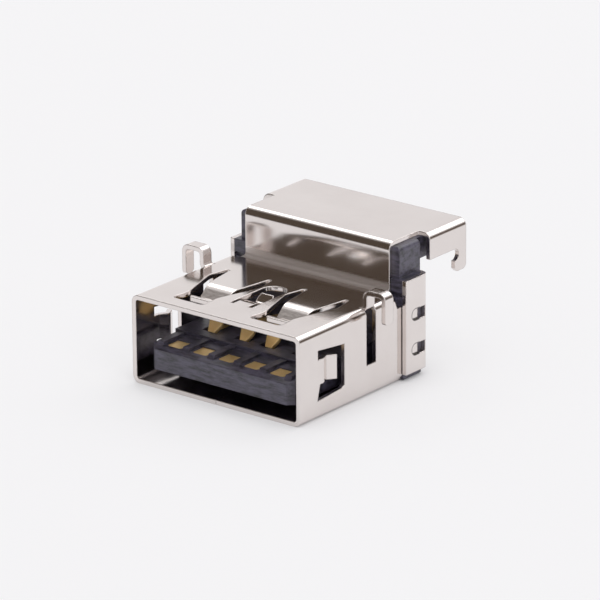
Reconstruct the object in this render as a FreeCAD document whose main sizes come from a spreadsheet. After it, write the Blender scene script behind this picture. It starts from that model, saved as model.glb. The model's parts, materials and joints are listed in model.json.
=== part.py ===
import FreeCAD, Part
import Sketcher
import math
import os
import re

# A right-angle board socket for a wide flat plug, sunk into a notch in the board's edge.
# X is to the right seen from the mouth, Y runs back into the socket, Z is up.
# The origin is the middle of the mouth's lower edge, on the flat bottom that the socket rests on.

V = FreeCAD.Vector
doc = FreeCAD.newDocument("Socket")

# How often each thing repeats, and where the spring contacts stand
FLAT_COUNT = 5
BARB_COUNT = 2
SPRING_PLACES = ("-spring_outer", "-spring_inner", "spring_inner", "spring_outer")

# Driving dimensions in millimetres
SIZES = {
    "sheet": 0.3,
    "fold_radius": 0.5,
    "shell_width": 13.1,
    "shell_height": 5.72,
    "wall_depth": 10.1,
    "seam_gap": 0.04,
    "board_top": 7.1,
    "cover_height": 1.72,
    "cover_rear": 16.7,
    "riser_front": 9.93,
    "riser_inset": 0.9,
    "skirt_front": 12.86,
    "skirt_inset": 0.15,
    "leg_depth": 1.13,
    "leg_length": 1.5,
    "leg_notch_radius": 0.4,
    "corner_step_front": 9.2,
    "corner_step_rear": 9.57,
    "corner_step_low": 4.87,
    "finger_centre": 3.0,
    "finger_root": 7.05,
    "finger_root_half": 1.5,
    "finger_shoulder": 4.9,
    "finger_shoulder_half": 1.18,
    "finger_waist_half": 1.07,
    "finger_nose": 2.26,
    "finger_nose_half": 0.88,
    "finger_nose_dip": 0.22,
    "finger_dip": 0.78,
    "finger_dip_place": 3.15,
    "finger_dip_radius": 0.4,
    "finger_curl_place": 2.62,
    "finger_curl_radius": 0.35,
    "finger_bend_start": 4.4,
    "finger_bend_radius": 1.0,
    "window_front": 1.08,
    "window_front_half": 1.27,
    "window_narrow": 2.45,
    "window_narrow_half": 1.06,
    "window_wide": 5.65,
    "window_wide_half": 2.02,
    "window_root_half": 1.74,
    "latch_root": 2.5,
    "latch_half": 0.56,
    "latch_tip": 5.32,
    "latch_dip": 0.55,
    "latch_dip_place": 4.65,
    "latch_bend_place": 3.3,
    "latch_bend_radius": 1.2,
    "latch_curl_radius": 0.4,
    "latch_window_half": 0.84,
    "latch_window_rear": 6.45,
    "latch_window_radius": 0.77,
    "side_window_front": 1.75,
    "side_window_rear": 4.35,
    "side_window_top": 4.43,
    "side_window_low": 1.2,
    "side_finger_root": 1.95,
    "side_finger_nose": 3.62,
    "side_finger_flare": 0.13,
    "side_finger_dip_place": 2.9,
    "side_finger_top": 3.82,
    "side_finger_low": 2.24,
    "side_finger_dip": 0.3,
    "slot_front": 6.5,
    "slot_rear": 7.45,
    "slot_low": 2.06,
    "hook_side_gap": 0.04,
    "hook_width": 0.78,
    "hook_span": 1.42,
    "hook_rise": 1.18,
    "hook_length": 2.0,
    "hook_tip_radius": 0.25,
    "shield_gap": 0.05,
    "shield_front": 10.0,
    "shield_rear": 12.3,
    "shield_board_gap": 0.55,
    "shield_low": 0.46,
    "barb_round": 0.36,
    "barb_corner": 0.35,
    "barb_middle": 10.95,
    "barb_step": 11.33,
    "barb_rear": 11.95,
    "barb_low": 1.92,
    "barb_pitch": 2.26,
    "barb_dent": 0.15,
    "tongue_side_gap": 0.7,
    "tongue_front": 0.4,
    "tongue_low": 1.02,
    "tongue_top": 2.86,
    "tongue_corner": 0.4,
    "tongue_nose_step": 0.5,
    "pad_depth": 0.5,
    "rib_front": 0.9,
    "rib_width": 0.5,
    "rib_drop": 0.1,
    "pad_rear": 1.95,
    "pad_cover": 0.06,
    "bar_front": 2.9,
    "groove_front": 3.7,
    "groove_width": 1.2,
    "groove_depth": 0.31,
    "block_front": 8.6,
    "rear_low": 0.1,
    "head_gap": 0.05,
    "head_edge": 0.3,
    "head_recess": 0.35,
    "flat_pitch": 2.0,
    "flat_thick": 0.2,
    "flat_front": 0.88,
    "flat_width": 1.08,
    "flat_rise": 11.4,
    "flat_board_gap": 0.45,
    "spring_inner": 1.0,
    "spring_outer": 3.5,
    "spring_thick": 0.2,
    "spring_front": 3.98,
    "spring_width": 1.0,
    "spring_peak_rise": 0.76,
    "spring_peak_place": 4.75,
    "spring_throat_rise": 0.19,
    "spring_rise": 10.7,
    "spring_cover_gap": 0.27,
    "spring_tail_inset": 1.5,
    "contact_bend": 0.35,
    "tail_width": 0.6,
}

# Sizes that follow from the driving ones
TIED = {
    "cover_top": "board_top + cover_height",
    "riser_width": "shell_width - 2 * riser_inset",
    "skirt_rear": "cover_rear - skirt_inset",
    "leg_front": "cover_rear - skirt_inset - leg_depth",
    "leg_low": "board_top - leg_length",
    "hook_outer": "shell_width / 2 + hook_span",
    "hook_top": "shell_height + hook_rise",
    "hook_low": "shell_height + hook_rise - hook_length",
    "shield_inner": "shell_width / 2 + shield_gap",
    "shield_top": "board_top - shield_board_gap",
    "throat_half": "shell_width / 2 - sheet",
    "tongue_width": "shell_width - 2 * sheet - 2 * tongue_side_gap",
    "tongue_nose_top": "tongue_top - tongue_nose_step",
    "pad_floor": "tongue_top - pad_depth",
    "head_half": "shell_width / 2 - sheet - head_gap",
    "head_top": "board_top + cover_height - sheet",
    "flat_level": "board_top + flat_board_gap",
    "flat_tail": "(shield_rear + cover_rear - spring_tail_inset) / 2",
    "spring_tail": "cover_rear - spring_tail_inset",
    "spring_peak": "tongue_top + spring_peak_rise",
    "spring_level": "tongue_top + spring_throat_rise",
    "spring_top_level": "board_top + cover_height - sheet - spring_thick - spring_cover_gap",
}

sheet_table = doc.addObject("Spreadsheet::Sheet", "Sizes")
tied_cells = {alias: "=" + text for alias, text in TIED.items()}
for row, (alias, size) in enumerate({**SIZES, **tied_cells}.items(), start=1):
    sheet_table.set("A%d" % row, alias)
    sheet_table.set("B%d" % row, str(size))
    sheet_table.setAlias("B%d" % row, alias)
doc.recompute()

# Each plane's sketch axes: the first letter runs along the sketch's u, the second along its v
PLANES = {
    "XY": FreeCAD.Placement(),
    "XZ": FreeCAD.Placement(V(), FreeCAD.Rotation(V(1, 0, 0), 90)),
    "YZ": FreeCAD.Placement(V(), FreeCAD.Rotation(V(1, 1, 1), 120)),
}
NORMALS = {"XY": V(0, 0, 1), "XZ": V(0, 1, 0), "YZ": V(1, 0, 0)}
OFF_PLANE = {"XY": "z", "XZ": "y", "YZ": "x"}


def formula(text):
    """The expression text with each word read as a size of the table."""
    return re.sub(r"[a-z_]*[a-z][a-z_]*", lambda word: "Sizes." + word.group(0), str(text))


def worked_out(text):
    return float(sheet_table.evalExpression(formula(text)))


def bind(item, prop, text):
    item.setExpression(prop, formula(text))


def corner_joints(points, radii, closed):
    """For each corner the end of the line before it and the start of the line after it."""
    count = len(points)
    joints = []
    for i in range(count):
        inner = closed or 0 < i < count - 1
        if not inner or radii[i] == 0:
            joints.append((points[i], points[i], None))
            continue
        before = (points[i - 1] - points[i]).normalize()
        after = (points[(i + 1) % count] - points[i]).normalize()
        half = before.getAngle(after) / 2
        back = radii[i] / abs(math.tan(half))
        middle = points[i] + (before + after).normalize() * (radii[i] / math.sin(half))
        joints.append((points[i] + before * back, points[i] + after * back, middle))
    return joints


def outline(name, plane, corners, closed=True):
    """A sketch through the given corners: each is (u, v) or (u, v, rounding radius), as formulas."""
    sketch = doc.addObject("Sketcher::SketchObject", name)
    sketch.Placement = PLANES[plane]
    add_outline(sketch, corners, closed)
    return sketch


def add_outline(sketch, corners, closed=True):
    points = [V(worked_out(corner[0]), worked_out(corner[1]), 0) for corner in corners]
    radii = [worked_out(corner[2]) if len(corner) > 2 else 0 for corner in corners]
    joints = corner_joints(points, radii, closed)
    count = len(points)
    spans = count if closed else count - 1
    lines = []
    for i in range(spans):
        lines.append(sketch.addGeometry(Part.LineSegment(joints[i][1], joints[(i + 1) % count][0])))
    for i, corner in enumerate(corners):
        before = lines[i - 1] if closed or i > 0 else None
        after = lines[i] if i < spans else None
        if joints[i][2] is None:
            if before is not None and after is not None:
                sketch.addConstraint(Sketcher.Constraint("Coincident", before, 2, after, 1))
            spot = (after, 1) if after is not None else (before, 2)
        else:
            spot = (sketch.addGeometry(Part.Point(points[i]), True), 1)
            start, end, middle = joints[i]
            forward = (points[i] - start).cross(end - points[i]).z > 0
            first, last = (start, end) if forward else (end, start)
            circle = Part.Circle(middle, V(0, 0, 1), radii[i])
            arc = sketch.addGeometry(Part.ArcOfCircle(circle, circle.parameter(first), circle.parameter(last)))
            sketch.addConstraint(Sketcher.Constraint("Tangent", before, 2, arc, 1 if forward else 2))
            sketch.addConstraint(Sketcher.Constraint("Tangent", after, 1, arc, 2 if forward else 1))
            sketch.addConstraint(Sketcher.Constraint("PointOnObject", spot[0], 1, before))
            sketch.addConstraint(Sketcher.Constraint("PointOnObject", spot[0], 1, after))
            rounding = sketch.addConstraint(Sketcher.Constraint("Radius", arc, radii[i]))
            bind(sketch, "Constraints[%d]" % rounding, corner[2])
        for kind, k in (("DistanceX", 0), ("DistanceY", 1)):
            place = points[i].x if k == 0 else points[i].y
            held = sketch.addConstraint(Sketcher.Constraint(kind, -1, 1, spot[0], spot[1], place))
            bind(sketch, "Constraints[%d]" % held, corner[k])


def prism(name, plane, base, start, length, middle=False):
    """The base sketch or face pushed out along its plane's normal."""
    solid = doc.addObject("Part::Extrusion", name)
    solid.Base = base
    solid.DirMode = "Custom"
    solid.Dir = NORMALS[plane]
    solid.Solid = True
    solid.Symmetric = middle
    bind(solid, "LengthFwd", length)
    bind(solid, "Placement.Base." + OFF_PLANE[plane], start)
    return solid


def strip(name, plane, path, thick, start, length, middle=False, left=True):
    """Sheet metal bent along an open path, lying on the path's left or right side."""
    band = doc.addObject("Part::Offset2D", name + "_band")
    band.Source = outline(name + "_path", plane, path, closed=False)
    band.Mode = "Skin"
    band.Join = "Intersection"
    band.Fill = True
    bind(band, "Value", "-(%s)" % thick if left != (plane == "XZ") else thick)
    return prism(name, plane, band, start, length, middle)


def block(name, x, y, z, dx, dy, dz):
    box = doc.addObject("Part::Box", name)
    for prop, text in (("Length", dx), ("Width", dy), ("Height", dz)):
        bind(box, prop, text)
    for axis, text in (("x", x), ("y", y), ("z", z)):
        bind(box, "Placement.Base." + axis, text)
    return box


def fused(name, shapes):
    whole = doc.addObject("Part::MultiFuse", name)
    whole.Shapes = shapes
    return whole


def without(name, base, tools):
    rest = doc.addObject("Part::Cut", name)
    rest.Base = base
    rest.Tool = tools[0] if len(tools) == 1 else fused(name + "_tools", tools)
    return rest


def shared(name, first, second):
    both = doc.addObject("Part::Common", name)
    both.Base = first
    both.Tool = second
    return both


def mirrored(source):
    other = doc.addObject("Part::Mirroring", source.Name + "_left")
    other.Source = source
    other.Normal = V(1, 0, 0)
    return other


def both_sides(source):
    return [source, mirrored(source)]


# Shell: one folded sheet, from the square mouth up the riser and over the rear cover
def mouth_tube():
    half, top, sheet = "shell_width / 2", "shell_height", "sheet"
    ring = doc.addObject("Sketcher::SketchObject", "mouth_ring")
    ring.Placement = PLANES["XZ"]
    outer = [("-%s" % half, "0"), (half, "0"), (half, top), ("-%s" % half, top)]
    inner_half = "(%s - %s)" % (half, sheet)
    inner_top = "%s - %s" % (top, sheet)
    inner = [("-%s" % inner_half, sheet), (inner_half, sheet),
             (inner_half, inner_top), ("-%s" % inner_half, inner_top)]
    add_outline(ring, [(u, v, "fold_radius") for u, v in outer])
    add_outline(ring, [(u, v, "fold_radius - sheet") for u, v in inner])
    return prism("mouth_tube", "XZ", ring, "0", "wall_depth")


def riser_and_cover():
    """The plate's step up to the cover and the flap down behind it, as one strip."""
    path = [("riser_front - 2 * fold_radius", "shell_height - sheet"),
            ("riser_front + sheet", "shell_height - sheet", "fold_radius"),
            ("riser_front + sheet", "cover_top - sheet", "fold_radius - sheet"),
            ("cover_rear - sheet", "cover_top - sheet", "fold_radius - sheet"),
            ("cover_rear - sheet", "board_top + sheet / 2")]
    return strip("riser", "YZ", path, "sheet", "0", "riser_width", middle=True)


def skirt():
    """The cover's wider rear part with its two sides folded down onto the board."""
    half = "(shell_width / 2 - sheet)"
    path = [("-%s" % half, "board_top"), ("-%s" % half, "cover_top - sheet", "fold_radius - sheet"),
            (half, "cover_top - sheet", "fold_radius - sheet"), (half, "board_top")]
    return strip("skirt", "XZ", path, "sheet", "skirt_front", "skirt_rear - skirt_front")


def rear_leg():
    tip = "(skirt_rear - leg_front) / 5"
    plate = outline("rear_leg_side", "YZ", [
        ("leg_front", "board_top + sheet"), ("leg_front", "leg_low + %s" % tip),
        ("leg_front + %s" % tip, "leg_low"), ("skirt_rear - %s" % tip, "leg_low"),
        ("skirt_rear", "leg_low + %s" % tip), ("skirt_rear", "board_top + sheet")])
    leg = prism("rear_leg_plate", "YZ", plate, "shell_width / 2 - sheet", "sheet")
    notch = doc.addObject("Part::Cylinder", "rear_leg_notch")
    bind(notch, "Radius", "leg_notch_radius")
    bind(notch, "Height", "3 * sheet")
    notch.Placement = FreeCAD.Placement(V(), FreeCAD.Rotation(V(0, 1, 0), 90))
    bind(notch, "Placement.Base.x", "shell_width / 2 - 2 * sheet")
    bind(notch, "Placement.Base.y", "leg_front")
    bind(notch, "Placement.Base.z", "board_top - leg_notch_radius")
    return without("rear_leg", leg, [notch])


def about(centre, half):
    return "%s - %s" % (centre, half), "%s + %s" % (centre, half)


def both_edges(centre, stations):
    """A closed outline from half widths: each station is (place along, half width, rounding)."""
    near = [(about(centre, half)[1], place, rounding) for place, half, rounding in stations]
    far = [(about(centre, half)[0], place, rounding) for place, half, rounding in reversed(stations)]
    return near + far


def finger_window():
    window = outline("finger_window_plan", "XY", both_edges("finger_centre", [
        ("window_front", "window_front_half", "sheet"),
        ("window_narrow", "window_narrow_half", "finger_bend_radius"),
        ("window_wide", "window_wide_half", "finger_bend_radius"),
        ("finger_root", "window_root_half", "sheet / 3")]))
    return prism("finger_window", "XY", window, "shell_height - 2 * sheet", "3 * sheet")


def top_finger():
    """A spring finger that dips into the mouth and turns up again at its nose."""
    path = [("finger_root + sheet / 2", "shell_height - sheet"),
            ("finger_bend_start", "shell_height - sheet", "finger_bend_radius"),
            ("finger_dip_place", "shell_height - sheet - finger_dip", "finger_dip_radius"),
            ("finger_curl_place", "shell_height - sheet - finger_nose_dip", "finger_curl_radius"),
            ("finger_nose", "shell_height - sheet - finger_nose_dip")]
    bent = strip("top_finger_strip", "YZ", path, "sheet", "finger_centre",
                 "2 * window_root_half", middle=True, left=False)
    plan = outline("top_finger_plan", "XY", both_edges("finger_centre", [
        ("finger_nose", "finger_nose_half", "sheet / 2"),
        ("finger_dip_place", "finger_nose_half", "finger_bend_radius"),
        ("finger_bend_start", "finger_waist_half", "0"),
        ("finger_shoulder", "finger_shoulder_half", "0"),
        ("finger_root", "finger_root_half", "0"),
        ("finger_root + sheet", "finger_root_half", "0")]))
    reach = prism("top_finger_reach", "XY", plan, "shell_height - 3 * finger_dip", "4 * finger_dip")
    return shared("top_finger", bent, reach)


def latch_window():
    window = outline("latch_window_plan", "XY", both_edges("0", [
        ("latch_root", "latch_window_half", "0"),
        ("latch_window_rear", "latch_window_half", "latch_window_radius")]))
    return prism("latch_window", "XY", window, "shell_height - 2 * sheet", "3 * sheet")


def latch():
    """The short tab between the fingers that dips to hold the plug and curls up at its tip."""
    path = [("latch_root - sheet / 2", "shell_height - sheet"),
            ("latch_bend_place", "shell_height - sheet", "latch_bend_radius"),
            ("latch_dip_place", "shell_height - sheet - latch_dip", "latch_curl_radius"),
            ("latch_tip", "shell_height - sheet")]
    bent = strip("latch_strip", "YZ", path, "sheet", "0", "2 * latch_half", middle=True)
    plan = outline("latch_plan", "XY", both_edges("0", [
        ("latch_root - sheet", "latch_half", "0"),
        ("latch_tip", "latch_half", "latch_half - sheet / 5")]))
    reach = prism("latch_reach", "XY", plan, "shell_height - sheet - 2 * latch_dip",
                  "2 * latch_dip + 3 * sheet")
    return shared("latch", bent, reach)


def side_window():
    window = outline("side_window_side", "YZ", [
        ("side_window_front", "side_window_top"),
        ("side_window_rear", "side_window_top - sheet"),
        ("side_window_rear", "side_window_low + sheet"),
        ("side_window_rear - sheet", "side_window_low + sheet / 2"),
        ("side_window_front - sheet / 4", "side_window_low"),
        ("side_finger_root", "side_finger_low"),
        ("side_finger_root", "side_finger_top"),
        ("side_window_front", "side_finger_top")])
    return prism("side_window", "YZ", window, "shell_width / 2 - 2 * sheet", "3 * sheet")


def side_finger():
    """The finger in the side wall, bowed into the mouth with its rear end turned out again."""
    inner = "shell_width / 2 - sheet"
    path = [(inner, "side_finger_root - sheet / 3"),
            (inner, "side_finger_root + sheet", "sheet"),
            ("%s - side_finger_dip" % inner, "side_finger_dip_place", "sheet"),
            ("%s + side_finger_flare" % inner, "side_finger_nose")]
    bent = strip("side_finger_strip", "XY", path, "sheet", "0", "shell_height", left=False)
    shape = outline("side_finger_side", "YZ", [
        ("side_finger_root - sheet", "side_finger_top"), ("side_finger_root", "side_finger_top"),
        ("side_finger_nose + sheet / 2", "side_finger_top - sheet / 3", "sheet"),
        ("side_finger_nose + sheet / 2", "side_finger_low - sheet / 4", "sheet"),
        ("side_finger_root", "side_finger_low"), ("side_finger_root - sheet", "side_finger_low")])
    reach = prism("side_finger_reach", "YZ", shape, "shell_width / 2 - 5 * sheet", "7 * sheet")
    return shared("side_finger", bent, reach)


def hook_slot():
    """The tall slot in the side wall that the hook's metal was cut from."""
    return block("hook_slot", "shell_width / 2 - fold_radius", "slot_front", "slot_low",
                 "fold_radius + sheet", "slot_rear - slot_front", "shell_height - slot_low + sheet")


def hook():
    """The strip out of that slot: up from the top plate's edge, over and down beside the shell."""
    path = [("shell_width / 2 - fold_radius - sheet", "shell_height - sheet"),
            ("shell_width / 2", "shell_height - sheet", "fold_radius"),
            ("shell_width / 2", "hook_top - sheet", "fold_radius - sheet"),
            ("hook_outer - sheet", "hook_top - sheet", "fold_radius - sheet"),
            ("hook_outer - sheet", "hook_low")]
    bent = strip("hook_strip", "XZ", path, "sheet", "slot_front + hook_side_gap",
                 "hook_width")
    near, far = "slot_front + hook_side_gap", "slot_front + hook_side_gap + hook_width"
    side = outline("hook_side", "YZ", [
        (near, "hook_low", "hook_tip_radius"), (far, "hook_low", "hook_tip_radius"),
        (far, "hook_top"), (near, "hook_top")])
    return shared("hook", bent, prism("hook_reach", "YZ", side, "0", "hook_outer"))


def corner_step():
    """What is cut off the wall's upper rear corner beside the riser's foot."""
    shape = outline("corner_step_side", "YZ", [
        ("corner_step_rear", "corner_step_low"), ("wall_depth + sheet", "corner_step_low"),
        ("wall_depth + sheet", "shell_height + sheet"), ("corner_step_front", "shell_height + sheet"),
        ("corner_step_front", "shell_height")])
    return prism("corner_step", "YZ", shape, "riser_width / 2", "shell_width / 2")


def riser_bay():
    return block("riser_bay", "-riser_width / 2", "riser_front - 2 * fold_radius",
                 "shell_height - 2 * sheet", "riser_width", "wall_depth", "3 * sheet")


def make_shell():
    seam = block("seam", "-seam_gap / 2", "-sheet", "-sheet", "seam_gap", "wall_depth + 2 * sheet", "3 * sheet")
    openings = [seam, riser_bay(), latch_window()]
    for shape in (finger_window(), side_window(), hook_slot(), corner_step()):
        openings += both_sides(shape)
    tube = without("pierced_tube", mouth_tube(), openings)
    pieces = [tube, riser_and_cover(), skirt(), latch()]
    for shape in (rear_leg(), top_finger(), side_finger(), hook()):
        pieces += both_sides(shape)
    return fused("shell", pieces)


# Rear shield: a plate round the back of the housing, with two punched barbs in each arm
def barb(number):
    level = "(barb_low + %d * barb_pitch)" % number
    low, high = "%s - barb_round" % level, "%s + barb_round" % level
    dent = outline("barb_dent_%d_side" % number, "YZ", [
        ("barb_middle - barb_round", low, "barb_corner"),
        ("barb_step + sheet / 2", low), ("barb_step + sheet / 2", high),
        ("barb_middle - barb_round", high, "barb_corner")])
    mark = prism("barb_dent_%d" % number, "YZ", dent, "shield_inner + sheet - barb_dent", "sheet")
    hole = block("barb_hole_%d" % number, "shield_inner - sheet", "barb_step", low,
                 "3 * sheet", "barb_rear - barb_step", "2 * barb_round")
    return [mark, hole]


def make_rear_shield():
    path = [("-shield_inner", "shield_front"),
            ("-shield_inner", "shield_rear - sheet", "fold_radius - sheet"),
            ("shield_inner", "shield_rear - sheet", "fold_radius - sheet"),
            ("shield_inner", "shield_front")]
    bent = strip("shield_strip", "XY", path, "sheet", "shield_low", "shield_top - shield_low")
    marks = []
    for number in range(BARB_COUNT):
        for shape in barb(number):
            marks += both_sides(shape)
    return without("rear_shield", bent, marks)


# Contacts: five flat ones in front and four springs behind them, all with tails to the board
def contact_plan(name, outline_points):
    return prism(name + "_reach", "XY", outline(name + "_plan", "XY", outline_points), "0", "cover_top")


def make_flat_contacts():
    pads = "flat_width / 2"
    tail = "tail_width / 2"
    bent = strip("flat_strip", "YZ", [
        ("flat_front", "pad_floor"),
        ("flat_rise", "pad_floor", "contact_bend + flat_thick"),
        ("flat_rise", "flat_level", "contact_bend"),
        ("flat_tail - flat_thick / 2", "flat_level", "contact_bend"),
        ("flat_tail - flat_thick / 2", "leg_low")],
        "flat_thick", "0", "flat_width", middle=True)
    reach = contact_plan("flat", [
        ("-%s" % pads, "flat_front", "flat_thick"), (pads, "flat_front", "flat_thick"),
        (pads, "bar_front"), (tail, "bar_front + tail_width / 2"), (tail, "cover_rear"),
        ("-%s" % tail, "cover_rear"), ("-%s" % tail, "bar_front + tail_width / 2"),
        ("-%s" % pads, "bar_front")])
    contacts = []
    for number in range(FLAT_COUNT):
        contact = shared("flat_contact_%d" % (number + 1), bent, reach)
        bind(contact, "Placement.Base.x", "%s * flat_pitch" % (number - (FLAT_COUNT - 1) / 2))
        contacts.append(contact)
    return contacts


def make_spring_contacts():
    wide = "spring_width / 2"
    nose = "spring_width / 5"
    tail = "tail_width / 2"
    bent = strip("spring_strip", "YZ", [
        ("spring_front", "tongue_top - spring_thick"),
        ("spring_peak_place", "spring_peak - spring_thick", "contact_bend"),
        ("block_front - tail_width", "spring_level", "2 * contact_bend"),
        ("spring_rise", "spring_level", "contact_bend + spring_thick"),
        ("spring_rise", "spring_top_level", "contact_bend"),
        ("spring_tail - spring_thick / 2", "spring_top_level", "contact_bend"),
        ("spring_tail - spring_thick / 2", "leg_low")],
        "spring_thick", "0", "spring_width", middle=True)
    shoulder = "(spring_front + spring_peak_place) / 2"
    reach = contact_plan("spring", [
        ("-%s" % nose, "spring_front - spring_thick"), (nose, "spring_front - spring_thick"),
        (wide, shoulder), (wide, "block_front - tail_width"), (tail, "block_front"),
        (tail, "cover_rear"), ("-%s" % tail, "cover_rear"), ("-%s" % tail, "block_front"),
        ("-%s" % wide, "block_front - tail_width"), ("-%s" % wide, shoulder)])
    contacts = []
    for number, place in enumerate(SPRING_PLACES):
        contact = shared("spring_contact_%d" % (number + 1), bent, reach)
        bind(contact, "Placement.Base.x", place)
        contacts.append(contact)
    return contacts


# Housing: one black moulding with the tongue in front and the contact block behind
def tongue():
    half = "tongue_width / 2"
    plan = outline("tongue_plan", "XY", [
        ("-%s" % half, "block_front + sheet"), ("-%s" % half, "tongue_front + tongue_corner"),
        ("-(%s - tongue_corner)" % half, "tongue_front"), ("%s - tongue_corner" % half, "tongue_front"),
        (half, "tongue_front + tongue_corner"), (half, "block_front + sheet")])
    body = prism("tongue_body", "XY", plan, "tongue_low", "tongue_top - tongue_low")
    side = outline("pad_tray_side", "YZ", [
        ("tongue_front - sheet", "tongue_nose_top"), ("tongue_front", "tongue_nose_top"),
        ("flat_front", "pad_floor + flat_thick"), ("pad_rear", "pad_floor + flat_thick"),
        ("pad_rear", "pad_floor + flat_thick + pad_cover"),
        ("bar_front", "pad_floor + flat_thick + pad_cover"),
        ("bar_front", "tongue_top + sheet"), ("tongue_front - sheet", "tongue_top + sheet")])
    tray = prism("pad_tray", "YZ", side, "0", "tongue_width + sheet", middle=True)
    ribs = []
    for number in range(FLAT_COUNT + 1):
        rib_side = outline("rib_%d_side" % number, "YZ", [
            ("rib_front - sheet", "tongue_nose_top - sheet"), ("rib_front - sheet", "tongue_nose_top"),
            ("rib_front", "tongue_top - rib_drop"), ("bar_front + sheet / 2", "tongue_top - rib_drop"),
            ("bar_front + sheet / 2", "tongue_nose_top - sheet")])
        rib = prism("rib_%d" % number, "YZ", rib_side, "%s * flat_pitch" % (number - FLAT_COUNT / 2),
                    "rib_width", middle=True)
        ribs.append(rib)
    return fused("tongue", [without("tongue_tray", body, [tray])] + ribs)


def head():
    """The block under the cover, with rounded top edges, that stands over the board."""
    side = outline("head_side", "YZ", [
        ("riser_front + sheet", "shield_top - sheet"),
        ("shield_rear - sheet", "shield_top - sheet"), ("shield_rear - sheet", "shield_top"),
        ("shield_rear", "shield_top"), ("shield_rear", "board_top"),
        ("cover_rear - sheet - head_gap", "board_top"),
        ("cover_rear - sheet - head_gap", "head_top", "fold_radius"),
        ("riser_front + sheet", "head_top", "fold_radius - sheet")])
    body = prism("head_body", "YZ", side, "0", "2 * head_half", middle=True)
    across = outline("head_across", "XZ", [
        ("-head_half", "0"), ("head_half", "0"), ("head_half", "head_top", "head_edge"),
        ("-head_half", "head_top", "head_edge")])
    rounded = shared("head_rounded", body, prism("head_rounding", "XZ", across, "0", "cover_rear"))
    recess = block("head_recess", "head_half - head_recess", "shield_rear", "shield_top",
                   "2 * head_recess", "cover_rear - shield_rear", "cover_top - shield_top")
    return without("head", rounded, both_sides(recess))


def rear_block(name, front, low, top):
    """The part behind the shell's walls that the shield is folded round."""
    rear, edge = "shield_rear - sheet", "fold_radius - sheet"
    plan = outline(name + "_plan", "XY", [
        ("-shield_inner", front), ("shield_inner", front),
        ("shield_inner", rear, edge), ("-shield_inner", rear, edge)])
    return prism(name, "XY", plan, low, "%s - (%s)" % (top, low))


def make_housing(contacts):
    throat = block("throat_block", "-throat_half", "block_front", "sheet", "2 * throat_half",
                   "wall_depth - block_front + sheet / 3", "shell_height - 2 * sheet")
    edges = outline("throat_rounding_across", "XZ", [
        ("-throat_half", "sheet", "fold_radius - sheet"), ("throat_half", "sheet", "fold_radius - sheet"),
        ("throat_half", "shell_height - sheet", "fold_radius - sheet"),
        ("-throat_half", "shell_height - sheet", "fold_radius - sheet")])
    throat = shared("throat", throat, prism("throat_rounding", "XZ", edges, "0", "cover_rear"))
    lower = rear_block("rear_block_lower", "wall_depth", "rear_low", "shell_height - sheet")
    upper = rear_block("rear_block_upper", "riser_front + sheet", "shell_height - 2 * sheet", "shield_top")
    cheek = block("cheek", "riser_width / 2 + head_gap", "shield_front", "shell_height",
                  "shield_inner - riser_width / 2 - head_gap", "riser_front + 2 * sheet - shield_front",
                  "shield_top - shell_height")
    moulding = fused("moulding", [tongue(), throat, lower, upper, head()] + both_sides(cheek))
    grooves = []
    for number, place in enumerate(SPRING_PLACES):
        grooves.append(block("groove_%d" % number, "%s - groove_width / 2" % place, "groove_front",
                             "tongue_top - groove_depth", "groove_width",
                             "block_front - groove_front", "2 * groove_depth"))
    return without("housing", moulding, grooves + contacts)


shell = make_shell()
rear_shield = make_rear_shield()
flat_contacts = make_flat_contacts()
spring_contacts = make_spring_contacts()
housing = make_housing(flat_contacts + spring_contacts)
sub_parts = [shell, rear_shield, housing] + flat_contacts + spring_contacts

doc.recompute()
faults = [item.Name for item in doc.Objects if "Invalid" in item.State or "Error" in item.State]
if faults:
    raise RuntimeError("These did not build: " + ", ".join(faults))
for item in sub_parts:
    item.Label = item.Name
    if item.Shape.isNull() or not item.Shape.isValid():
        raise RuntimeError(item.Label + " has no valid shape")

os.makedirs("parts", exist_ok=True)
for item in sub_parts:
    item.Shape.exportStep("parts/%s.step" % item.Label)
    print(item.Label, len(item.Shape.Solids), round(item.Shape.Volume, 3))
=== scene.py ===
import math

import bpy
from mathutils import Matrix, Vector
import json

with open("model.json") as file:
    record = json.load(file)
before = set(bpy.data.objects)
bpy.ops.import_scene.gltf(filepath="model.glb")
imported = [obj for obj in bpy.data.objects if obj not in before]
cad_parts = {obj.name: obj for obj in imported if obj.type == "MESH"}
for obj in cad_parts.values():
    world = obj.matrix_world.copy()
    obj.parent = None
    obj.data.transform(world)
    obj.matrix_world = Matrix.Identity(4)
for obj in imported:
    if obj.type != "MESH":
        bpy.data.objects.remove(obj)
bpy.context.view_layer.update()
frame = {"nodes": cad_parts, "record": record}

MM = 0.001
nodes = frame["nodes"]

# Places on the socket, in millimetres along the axes of the shared frame. A band is 0 up to its first
# number, 1 from the second to the third, and 0 again from the fourth.
BARB_Y = 10.95              # middle of the round front edge of the shield's punched barbs
BARB_MIDDLE_Z = 3.05        # halfway between the lower and the upper barb
BARB_HALF_PITCH = 1.13
BARB_RADIUS = 0.35
BARB_BAND_Y = (10.4, 10.5, 11.3, 11.4)
CUT_SHADE_CORE = 0.03         # the painted shade along the barbs' cut is full this far from the edge, and gone at the next number
CUT_SHADE_FADE = 0.09
FOLD_BAND_Y = (9.3, 9.5, 10.0, 10.1)
FOLD_BAND_Z = (5.6, 5.7, 6.1, 6.3)
RISER_TOP_Z = (7.72, 8.8)   # where the riser's lean starts and where it is greatest
FINGER_BAND_X = (-4.4, -4.2, 4.2, 4.4)
FINGER_BAND_Z = (4.8, 4.9, 5.5, 5.68)
FINGER_FRONT_Y = (4.6, 4.2)  # behind the first the fingers are smooth, in front of the second they are not

# The noise node's values lie mostly between these
NOISE_LOW, NOISE_HIGH = 0.3, 0.7

# Sockets of the mix node for each kind of value: first input, second input, result
MIX_SOCKETS = {"FLOAT": (2, 3, 0), "RGBA": (6, 7, 2)}


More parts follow.
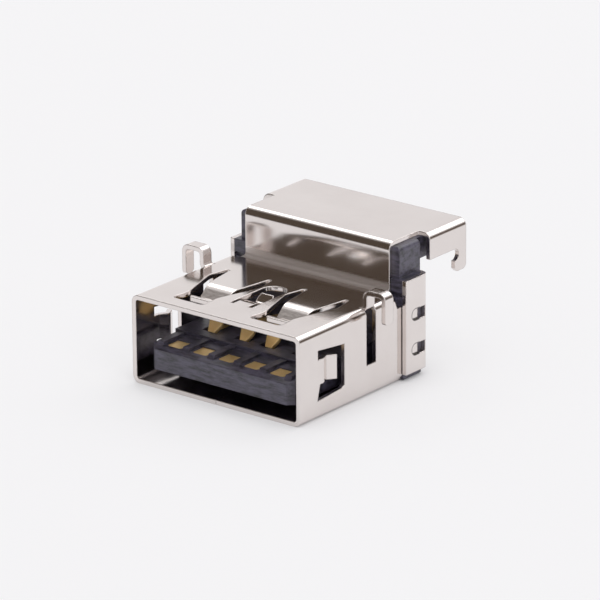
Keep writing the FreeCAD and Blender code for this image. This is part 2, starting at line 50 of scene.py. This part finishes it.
# Node helpers
def new_material(name):
    material = bpy.data.materials.new(name)
    material.use_nodes = True
    tree = material.node_tree
    return material, tree, tree.nodes["Principled BSDF"]


def add(tree, kind, **settings):
    node = tree.nodes.new(kind)
    for key, value in settings.items():
        setattr(node, key, value)
    return node


def feed(tree, socket, value):
    """Links an input to another node's output, or sets it to a constant."""
    if isinstance(value, bpy.types.NodeSocket):
        tree.links.new(value, socket)
    else:
        socket.default_value = value


def noise(tree, scale, detail=3.0, stretch=(1, 1, 1), roughness=0.55):
    place = add(tree, "ShaderNodeTexCoord")
    mapping = add(tree, "ShaderNodeMapping")
    feed(tree, mapping.inputs["Vector"], place.outputs["Object"])
    feed(tree, mapping.inputs["Scale"], stretch)
    node = add(tree, "ShaderNodeTexNoise")
    feed(tree, node.inputs["Vector"], mapping.outputs["Vector"])
    feed(tree, node.inputs["Scale"], scale)
    feed(tree, node.inputs["Detail"], detail)
    feed(tree, node.inputs["Roughness"], roughness)
    return node.outputs["Fac"]


def ramp(tree, value, stops):
    node = add(tree, "ShaderNodeValToRGB")
    bars = node.color_ramp.elements
    while len(bars) < len(stops):
        bars.new(0.5)
    for bar, (place, colour) in zip(bars, stops):
        bar.position = place
        bar.color = (*colour, 1.0)
    feed(tree, node.inputs["Fac"], value)
    return node.outputs["Color"]


def remap(tree, value, low, high, start=NOISE_LOW, stop=NOISE_HIGH):
    """Low where the value is at start, high where it is at stop, and in between by share."""
    node = add(tree, "ShaderNodeMapRange")
    feed(tree, node.inputs["Value"], value)
    feed(tree, node.inputs["From Min"], start)
    feed(tree, node.inputs["From Max"], stop)
    feed(tree, node.inputs["To Min"], low)
    feed(tree, node.inputs["To Max"], high)
    return node.outputs["Result"]


def bump(tree, value, height, strength, under):
    """Relief of the given height in millimetres, on top of the normal under it."""
    node = add(tree, "ShaderNodeBump")
    feed(tree, node.inputs["Height"], value)
    feed(tree, node.inputs["Distance"], height * MM)
    feed(tree, node.inputs["Strength"], strength)
    feed(tree, node.inputs["Normal"], under)
    return node.outputs["Normal"]


def rounded(tree, radius):
    """Normal with the edges softened, by a radius in millimetres."""
    node = add(tree, "ShaderNodeBevel", samples=6)
    feed(tree, node.inputs["Radius"], radius * MM)
    return node.outputs["Normal"]


def blend(tree, kind, amount, first, second, blend_type="MIX"):
    """From the first number or colour to the second."""
    node = add(tree, "ShaderNodeMix", data_type=kind, blend_type=blend_type)
    first_socket, second_socket, result = MIX_SOCKETS[kind]
    feed(tree, node.inputs[0], amount)
    feed(tree, node.inputs[first_socket], first)
    feed(tree, node.inputs[second_socket], second)
    return node.outputs[result]


def mix_shaders(tree, amount, first, second):
    node = add(tree, "ShaderNodeMixShader")
    for socket, value in zip(node.inputs, (amount, first, second)):
        feed(tree, socket, value)
    return node.outputs["Shader"]


def maths(tree, operation, *values):
    """One calculation on one or two values, each a socket or a number."""
    node = add(tree, "ShaderNodeMath", operation=operation)
    for socket, value in zip(node.inputs, values):
        feed(tree, socket, value)
    return node.outputs["Value"]


def times(tree, *values):
    total = values[0]
    for value in values[1:]:
        total = maths(tree, "MULTIPLY", total, value)
    return total


def position(tree):
    """X, Y and Z of the shaded point in the object's own coordinates."""
    place = add(tree, "ShaderNodeTexCoord")
    parts = add(tree, "ShaderNodeSeparateXYZ")
    feed(tree, parts.inputs["Vector"], place.outputs["Object"])
    return parts.outputs


def within(tree, axis, start, stop):
    """From 0 at one place along an axis of the object to 1 at the other, in millimetres."""
    return remap(tree, position(tree)[axis], 0.0, 1.0, start * MM, stop * MM)


def band(tree, axis, start, full, fading, stop):
    """1 in a stretch along an axis of the object and 0 outside it, in millimetres."""
    return times(tree, within(tree, axis, start, full), within(tree, axis, stop, fading))


def barb_cut_shade(tree):
    """Painted shade: 1 along the round front edge of the shield's punched barbs, 0 away from it."""
    place = position(tree)
    ahead = maths(tree, "MINIMUM", maths(tree, "SUBTRACT", place["Y"], BARB_Y * MM), 0.0)
    from_middle = maths(tree, "SUBTRACT", place["Z"], BARB_MIDDLE_Z * MM)
    above = maths(tree, "SUBTRACT", maths(tree, "ABSOLUTE", from_middle), BARB_HALF_PITCH * MM)
    squares = maths(tree, "ADD", times(tree, ahead, ahead), times(tree, above, above))
    off_edge = maths(tree, "SUBTRACT", maths(tree, "SQRT", squares), BARB_RADIUS * MM)
    shade_line = remap(tree, maths(tree, "ABSOLUTE", off_edge), 1.0, 0.0, CUT_SHADE_CORE * MM, CUT_SHADE_FADE * MM)
    return times(tree, shade_line, band(tree, "Y", *BARB_BAND_Y))


# Nickel-plated sheet: satin, faintly streaked along the rolling direction. The riser leans back a
# little towards its top, the plating is dull in the tight fold at its foot, the bent fingers have a
# fine orange peel, and a near-black line of painted shade lies along the cut of the punched barbs.
def nickel():
    material, tree, shader = new_material("nickel_sheet")
    shader.inputs["Metallic"].default_value = 1.0
    cloud = noise(tree, 260.0, detail=4.0)
    tint = ramp(tree, cloud, [(0.25, (0.77, 0.715, 0.690)), (0.75, (0.83, 0.780, 0.755))])
    # painted shade: the tint goes near black along the round cut of the barbs, in place of the shade in the
    # cut
    shaded_tint = blend(tree, "RGBA", times(tree, barb_cut_shade(tree), 0.85), tint, (0.035, 0.030, 0.028, 1.0))
    feed(tree, shader.inputs["Base Color"], shaded_tint)

    satin = remap(tree, noise(tree, 900.0, detail=4.0, stretch=(0.25, 1.0, 0.25)), 0.11, 0.16)
    fold = times(tree, band(tree, "Y", *FOLD_BAND_Y), band(tree, "Z", *FOLD_BAND_Z))
    feed(tree, shader.inputs["Roughness"], blend(tree, "FLOAT", fold, satin, 0.5))

    rise = within(tree, "Z", *RISER_TOP_Z)
    lean = bump(tree, times(tree, rise, rise), height=-0.11, strength=1.0, under=rounded(tree, 0.10))
    finger = times(tree, band(tree, "Z", *FINGER_BAND_Z), within(tree, "Y", *FINGER_FRONT_Y),
                   band(tree, "X", *FINGER_BAND_X))
    peel = bump(tree, times(tree, finger, noise(tree, 3400.0)), height=0.012, strength=0.8, under=lean)
    grain = bump(tree, noise(tree, 4200.0), height=0.0014, strength=0.5, under=peel)
    feed(tree, shader.inputs["Normal"], grain)
    return material


# Black moulding with the drawn-out grain of a glass-filled plastic
def moulding():
    material, tree, shader = new_material("black_moulding")
    shader.inputs["Specular IOR Level"].default_value = 0.8
    grain = noise(tree, 2600.0, detail=5.0, stretch=(0.35, 1.0, 1.6), roughness=0.7)
    tint = ramp(tree, grain, [(0.36, (0.014, 0.0125, 0.019)), (0.60, (0.092, 0.083, 0.126))])
    feed(tree, shader.inputs["Base Color"], tint)
    feed(tree, shader.inputs["Roughness"], remap(tree, grain, 0.28, 0.44))
    face = bump(tree, grain, height=0.022, strength=0.8, under=rounded(tree, 0.07))
    feed(tree, shader.inputs["Normal"], face)
    return material


# Smooth gold plating, a little uneven in colour
def gold():
    material, tree, shader = new_material("gold_contact")
    shader.inputs["Metallic"].default_value = 0.7
    cloud = noise(tree, 700.0)
    tint = ramp(tree, cloud, [(0.3, (0.94, 0.63, 0.25)), (0.7, (1.0, 0.75, 0.37))])
    feed(tree, shader.inputs["Base Color"], tint)
    feed(tree, shader.inputs["Roughness"], remap(tree, cloud, 0.30, 0.42))
    face = bump(tree, noise(tree, 1500.0), height=0.006, strength=0.5, under=rounded(tree, 0.09))
    feed(tree, shader.inputs["Normal"], face)
    return material


looks = {"nickel_sheet": nickel(), "black_moulding": moulding(), "gold_contact": gold()}
for entry in frame["record"]["subparts"]:
    obj = nodes[entry["node"]]
    obj.data.materials.clear()
    obj.data.materials.append(looks[entry["material_slot"]])


# Pale floor. A share of it is plain glow, less in the nooks under the socket, so that it stays as bright
# as the photo's background for the camera and in the nickel's reflections.
FLOOR_REACH = 3.0           # metres
FLOOR_GLOW = 0.6
GLOW_IN_REFLECTIONS = 0.7
NOOK_SIZE = 2.5             # millimetres


def floor():
    corners = [(x * FLOOR_REACH, y * FLOOR_REACH, 0) for x, y in ((-1, -1), (1, -1), (1, 1), (-1, 1))]
    mesh = bpy.data.meshes.new("floor")
    mesh.from_pydata(corners, [], [(0, 1, 2, 3)])
    obj = bpy.data.objects.new("floor", mesh)
    bpy.context.collection.objects.link(obj)

    material, tree, shader = new_material("pale_floor")
    shader.inputs["Roughness"].default_value = 0.8
    tint = ramp(tree, noise(tree, 40.0, detail=2.0), [(0.2, (0.90, 0.895, 0.91)), (0.8, (0.91, 0.905, 0.92))])
    feed(tree, shader.inputs["Base Color"], tint)
    glow = add(tree, "ShaderNodeEmission")
    glow.inputs["Color"].default_value = (0.98, 0.975, 0.985, 1.0)

    path = add(tree, "ShaderNodeLightPath")
    nook = add(tree, "ShaderNodeAmbientOcclusion", samples=8)
    nook.inputs["Distance"].default_value = NOOK_SIZE * MM
    reflected = times(tree, path.outputs["Is Glossy Ray"], GLOW_IN_REFLECTIONS)
    seen = maths(tree, "MAXIMUM", path.outputs["Is Camera Ray"], reflected)
    share = times(tree, seen, nook.outputs["AO"], FLOOR_GLOW)
    surface = mix_shaders(tree, share, shader.outputs["BSDF"], glow.outputs["Emission"])
    feed(tree, tree.nodes["Material Output"].inputs["Surface"], surface)
    mesh.materials.append(material)


floor()

# Soft studio light, all of it aimed at the middle of the socket: name, place and size in metres, power
MIDDLE = (0, 0.008, 0.004)
LAMPS = [
    ("top_softbox", (-0.05, 0.12, 0.70), (0.54, 0.54), 0.8),
    ("left_softbox", (-0.43, 0.35, 0.515), (0.21, 0.21), 0.28),
    ("back_softbox", (0.04, 0.52, 0.48), (0.44, 0.30), 0.5),
    ("right_softbox", (0.60, -0.22, 0.46), (0.30, 0.30), 0.5),
]
for name, place, size, power in LAMPS:
    data = bpy.data.lights.new(name, "AREA")
    data.shape = "RECTANGLE"
    data.size, data.size_y = size
    data.energy = power
    obj = bpy.data.objects.new(name, data)
    obj.location = place
    obj.rotation_euler = (Vector(MIDDLE) - Vector(place)).to_track_quat("-Z", "Y").to_euler()
    bpy.context.collection.objects.link(obj)


# The studio round it, as directions that a ray may look in
BEHIND = (0, 0.94, 0.34)
LEFT = (-1, 0, 0)
CORNER = (0.58, 0.77, 0.27)


def facing(tree, direction):
    """How far the ray looks towards the given direction: 1 straight at it, 0 square to it."""
    place = add(tree, "ShaderNodeTexCoord")
    product = add(tree, "ShaderNodeVectorMath", operation="DOT_PRODUCT")
    feed(tree, product.inputs[0], place.outputs["Generated"])
    feed(tree, product.inputs[1], Vector(direction).normalized())
    return product.outputs["Value"]


def backing(tree, colour, strength):
    node = add(tree, "ShaderNodeBackground")
    feed(tree, node.inputs["Color"], colour)
    feed(tree, node.inputs["Strength"], strength)
    return node.outputs["Background"]


# Reflections see a pale room with a dark brown screen in front on the left and a narrow dark corner
# behind on the right. Its light on the socket is even, and the camera sees a plain background.
def studio():
    world = bpy.data.worlds.new("studio")
    bpy.context.scene.world = world
    world.use_nodes = True
    tree = world.node_tree

    behind = facing(tree, BEHIND)
    pale = ramp(tree, behind, [
        (0.0, (0.62, 0.61, 0.62)), (0.30, (0.76, 0.75, 0.75)), (0.66, (0.96, 0.95, 0.95)),
        (0.84, (0.84, 0.825, 0.835))])
    across = facing(tree, LEFT)
    screen = times(tree, remap(tree, behind, 1.0, 0.0, 0.18, 0.46),
                   remap(tree, across, 0.0, 1.0, 0.02, 0.20), remap(tree, across, 1.0, 0.0, 0.85, 0.96))
    room = blend(tree, "RGBA", screen, pale, (0.082, 0.063, 0.048, 1.0))
    corner = ramp(tree, facing(tree, CORNER), [
        (0.0, (1, 1, 1)), (0.97, (1, 1, 1)), (0.99, (0.14, 0.11, 0.09))])
    reflections = backing(tree, blend(tree, "RGBA", 1.0, room, corner, "MULTIPLY"), 1.0)

    path = add(tree, "ShaderNodeLightPath")
    even = backing(tree, (1.0, 0.99, 1.0, 1.0), 0.62)
    lit = mix_shaders(tree, path.outputs["Is Glossy Ray"], even, reflections)
    plain = backing(tree, (0.93, 0.925, 0.93, 1.0), 1.0)
    seen = mix_shaders(tree, path.outputs["Is Camera Ray"], lit, plain)
    feed(tree, tree.nodes["World Output"].inputs["Surface"], seen)


studio()

# Camera where the photograph was taken from: lens and sensor in millimetres, turns in degrees
LENS = 306.6
SENSOR = 36.0
CAMERA_PLACE = (0.184836, -0.222910, 0.110750)
CAMERA_TURNS = (70.2328, 0.4158, 38.4956)
eye = bpy.data.cameras.new("camera")
eye.lens = LENS
eye.sensor_width = SENSOR
eye.clip_start = 0.02
camera = bpy.data.objects.new("camera", eye)
camera.location = CAMERA_PLACE
camera.rotation_euler = [math.radians(turn) for turn in CAMERA_TURNS]
bpy.context.collection.objects.link(camera)
bpy.context.scene.camera = camera

bpy.context.scene.view_settings.view_transform = "Standard"
